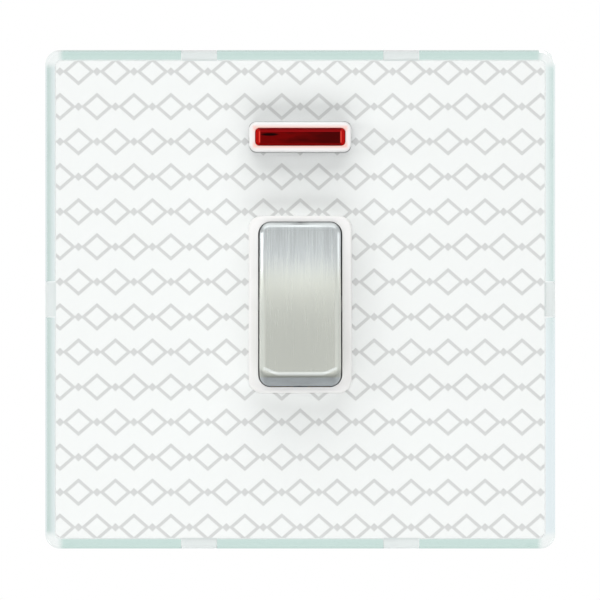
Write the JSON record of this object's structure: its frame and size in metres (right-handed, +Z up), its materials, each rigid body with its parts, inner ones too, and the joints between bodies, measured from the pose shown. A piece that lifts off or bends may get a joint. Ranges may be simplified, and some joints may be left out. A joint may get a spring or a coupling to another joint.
{
  "type": "double pole switch",
  "caption": "Square wall switch with a clear snap-off plate over a paper insert, a tilting steel rocker that moves both poles together, and a neon window.",
  "frame": {"origin": "centre of the plate outline, on the wall plane", "axes": "+X to the right as seen from the front, +Y into the wall, +Z up"},
  "size_m": [0.088, 0.0333, 0.086],
  "materials": {
    "clear_acrylic": "polished clear acrylic, faintly green at its edges",
    "paper": "matt paper with a pale grey print",
    "white_moulding": "satin white moulding",
    "zinc_steel": "zinc plated pressed steel",
    "satin_steel": "brushed stainless steel",
    "grey_moulding": "grey thermoset moulding",
    "brass": "extruded brass",
    "silver": "silver contact alloy",
    "screw_steel": "zinc plated steel",
    "spring_steel": "drawn spring steel",
    "plunger_nylon": "natural nylon",
    "red_lens": "tinted clear plastic",
    "lamp_glass": "blown glass",
    "lead_wire": "tinned copper wire",
    "resistor_body": "lacquered ceramic"
  },
  "bodies": {
    "base": {"backing_plate": "white_moulding", "mounting_frame": "zinc_steel", "front_housing": "white_moulding", "rear_housing": "grey_moulding", "module_screws": "screw_steel", "housing_screws": "screw_steel", "terminal_screws": "screw_steel", "earth_terminal": "brass", "earth_screw": "screw_steel", "neon_lens": "red_lens", "neon_lamp": "lamp_glass", "neon_leads": "lead_wire", "neon_resistor": "resistor_body", "line_fixed_tip": "silver", "line_supply_terminal": "brass", "line_load_terminal": "brass", "neutral_fixed_tip": "silver", "neutral_supply_terminal": "brass", "neutral_load_terminal": "brass"},
    "cover": {"front_plate": "clear_acrylic", "wallpaper_insert": "paper"},
    "rocker": {"rocker_cap": "satin_steel", "rocker_core": "white_moulding", "line_plunger": "plunger_nylon", "neutral_plunger": "plunger_nylon", "line_spring": "spring_steel", "neutral_spring": "spring_steel"},
    "line_contact": {"line_moving_contact": "brass", "line_moving_tip": "silver"},
    "neutral_contact": {"neutral_moving_contact": "brass", "neutral_moving_tip": "silver"}
  },
  "joints": [
    {"name": "rocker_tilt", "type": "hinge", "parent": "base", "child": "rocker", "pos_m": [0, -0.0045, -0.00085], "axis": [1, 0, 0], "range_deg": [0, 14]},
    {"name": "front_plate_pull", "type": "slide", "parent": "base", "child": "cover", "axis": [0, -1, 0], "range_m": [0, 0.03]},
    {"name": "line_contact_tilt", "type": "hinge", "parent": "base", "child": "line_contact", "pos_m": [0, 0.009, -0.00085], "axis": [1, 0, 0], "range_deg": [-22.5, 0]},
    {"name": "neutral_contact_tilt", "type": "hinge", "parent": "base", "child": "neutral_contact", "pos_m": [0, 0.009, -0.00085], "axis": [1, 0, 0], "range_deg": [-22.5, 0]}
  ],
  "couplings": [
    {"joint": "line_contact_tilt", "follows": "rocker_tilt", "ratio": -1.6},
    {"joint": "neutral_contact_tilt", "follows": "rocker_tilt", "ratio": -1.6}
  ]
}
